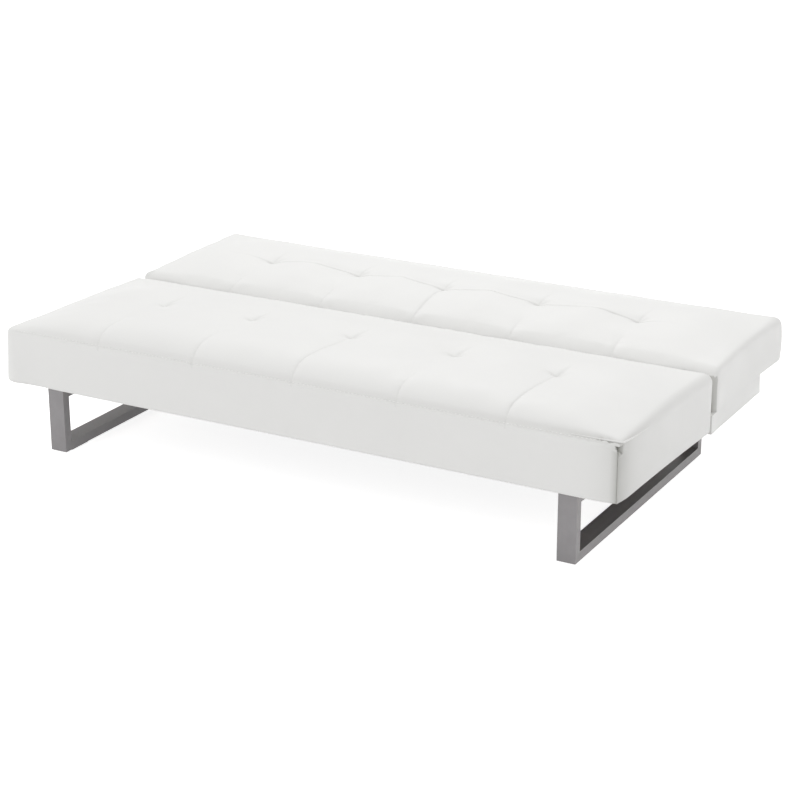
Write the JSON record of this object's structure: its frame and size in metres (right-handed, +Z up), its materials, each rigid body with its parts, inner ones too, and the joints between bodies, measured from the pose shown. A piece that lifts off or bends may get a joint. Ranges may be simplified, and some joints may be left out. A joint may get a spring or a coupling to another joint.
{
  "type": "click clack sofa bed",
  "caption": "Armless click clack sofa bed lying flat: tufted white leatherette seat and back on a timber base with flat steel sled legs and ratchet hinges.",
  "frame": {"origin": "on the floor, under the middle of the bed's outline as it lies flat", "axes": "+X along the bed's length, +Y from the seat's front edge towards the back, +Z up"},
  "size_m": [1.8, 1.128, 0.3926],
  "materials": {
    "leatherette": "soft semi-matt white synthetic leather, lightly padded",
    "gunmetal": "satin gunmetal grey metallic, sharp edges",
    "black_steel": "black painted pressed steel",
    "zinc_steel": "bright zinc plated",
    "timber": "sawn pine and plywood, bare",
    "foam": "open cell polyurethane foam",
    "black_cloth": "non-woven black cloth",
    "black_plastic": "matt black moulded plastic"
  },
  "bodies": {
    "base": {"base_front_rail": "timber", "base_rear_rail": "timber", "base_left_rail": "timber", "base_right_rail": "timber", "base_left_leg_bearer": "timber", "base_right_leg_bearer": "timber", "base_rear_apron": "leatherette", "base_left_apron": "leatherette", "base_right_apron": "leatherette", "base_dust_cover": "black_cloth", "left_leg_loop": "gunmetal", "left_leg_front_bolt": "zinc_steel", "left_leg_front_glide": "black_plastic", "left_leg_rear_bolt": "zinc_steel", "left_leg_rear_glide": "black_plastic", "right_leg_loop": "gunmetal", "right_leg_front_bolt": "zinc_steel", "right_leg_front_glide": "black_plastic", "right_leg_rear_bolt": "zinc_steel", "right_leg_rear_glide": "black_plastic", "left_hinge_bracket": "black_steel", "left_hinge_pivot_pin": "zinc_steel", "right_hinge_bracket": "black_steel", "right_hinge_pivot_pin": "zinc_steel"},
    "seat": {"seat_cover": "leatherette", "seat_frame_hinge_side_rail": "timber", "seat_frame_far_rail": "timber", "seat_frame_left_end_rail": "timber", "seat_frame_left_hinge_rail": "timber", "seat_frame_right_end_rail": "timber", "seat_frame_right_hinge_rail": "timber", "seat_deck": "timber", "seat_foam": "foam", "left_hinge_seat_arm": "black_steel", "left_hinge_pawl_pin": "zinc_steel", "left_hinge_pawl_spring": "zinc_steel", "right_hinge_seat_arm": "black_steel", "right_hinge_pawl_pin": "zinc_steel", "right_hinge_pawl_spring": "zinc_steel"},
    "back": {"back_cover": "leatherette", "back_frame_hinge_side_rail": "timber", "back_frame_far_rail": "timber", "back_frame_left_end_rail": "timber", "back_frame_left_hinge_rail": "timber", "back_frame_right_end_rail": "timber", "back_frame_right_hinge_rail": "timber", "back_deck": "timber", "back_foam": "foam", "back_lining": "black_cloth", "left_hinge_back_arm": "black_steel", "right_hinge_back_arm": "black_steel"},
    "left_pawl": {"left_hinge_pawl": "zinc_steel"},
    "right_pawl": {"right_hinge_pawl": "zinc_steel"}
  },
  "joints": [
    {"name": "back_recline", "type": "hinge", "parent": "base", "child": "back", "pos_m": [0, 0.0545, 0.303], "axis": [1, 0, 0], "range_deg": [0, 75]},
    {"name": "seat_lift", "type": "hinge", "parent": "base", "child": "seat", "pos_m": [0, 0.0545, 0.303], "axis": [-1, 0, 0], "range_deg": [0, 15]},
    {"name": "left_pawl_drop", "type": "hinge", "parent": "seat", "child": "left_pawl", "pos_m": [-0.80465, 0.0085, 0.281], "axis": [1, 0, 0], "range_deg": [0, 6]},
    {"name": "right_pawl_drop", "type": "hinge", "parent": "seat", "child": "right_pawl", "pos_m": [0.80465, 0.0085, 0.281], "axis": [1, 0, 0], "range_deg": [0, 6]}
  ]
}
